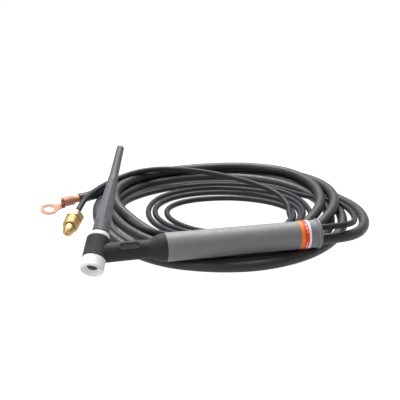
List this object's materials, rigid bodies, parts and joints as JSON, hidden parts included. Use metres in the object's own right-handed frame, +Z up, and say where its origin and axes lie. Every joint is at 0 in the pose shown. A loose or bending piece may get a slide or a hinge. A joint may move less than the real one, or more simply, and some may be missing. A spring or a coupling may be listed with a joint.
{
  "type": "tig torch",
  "caption": "Air-cooled TIG welding torch with long back cap, round handle, coiled power cable with eye lug and gas hose with threaded nut.",
  "frame": {"origin": "mouth of the thread that takes the collet body, on the head axis at the working end", "axes": "+X along the handle from the head to the cable end, +Z up from the surface that the leads lie on; the head is rolled 50.4 degrees about X, so the back cap leans towards +Y"},
  "size_m": [0.3817, 0.36, 0.1169],
  "materials": {
    "brass": "machined",
    "copper": "bare copper, satin",
    "head_rubber": "matte, mottled",
    "white_insulator": "matte, fine knurl",
    "cap_phenolic": "satin",
    "o_ring_rubber": "satin",
    "handle_nylon": "satin",
    "printed_band": "printed bars",
    "bushing_rubber": "matte",
    "clamp_steel": "satin",
    "cable_jacket": "matte",
    "hose_jacket": "matte"
  },
  "bodies": {
    "torch": {"cable_lug": "copper", "cap_insulator": "white_insulator", "conductor_strands": "copper", "cup_gasket": "white_insulator", "gas_barb": "brass", "gas_ferrule": "brass", "gas_hose_clamp": "clamp_steel", "gas_hose_coil": "hose_jacket", "gas_hose_exit": "hose_jacket", "gas_hose_tail": "hose_jacket", "gas_lead": "hose_jacket", "gas_nipple": "brass", "gas_tube": "copper", "handle_bushing": "bushing_rubber", "handle_shell": "handle_nylon", "head_core": "brass", "head_moulding": "head_rubber", "label_band": "printed_band", "power_cable_coil": "cable_jacket", "power_cable_exit": "cable_jacket", "power_cable_tail": "cable_jacket", "power_crimp": "copper", "power_lead": "cable_jacket", "power_tube": "copper", "power_union": "brass"},
    "cap_seal": {"cap_o_ring": "o_ring_rubber"},
    "back_cap": {"back_cap": "cap_phenolic", "cap_insert": "brass"},
    "gas_nut": {"gas_nut": "brass"}
  },
  "joints": [
    {"name": "back_cap_lift", "type": "slide", "parent": "torch", "child": "cap_seal", "axis": [0.342, 0.724, 0.599], "range_m": [0, 0.00762]},
    {"name": "back_cap_turn", "type": "hinge", "parent": "cap_seal", "child": "back_cap", "pos_m": [0, 0, 0], "axis": [0.342, 0.724, 0.599], "range_deg": [0, 2160]},
    {"name": "gas_nut_spin", "type": "hinge", "parent": "torch", "child": "gas_nut", "pos_m": [-0.0093, 0.1397, -0.01891], "axis": [0.4381, 0.8406, 0.3184], "continuous": true}
  ],
  "couplings": [
    {"joint": "back_cap_turn", "follows": "back_cap_lift", "rad_per_m": 4947.4}
  ]
}
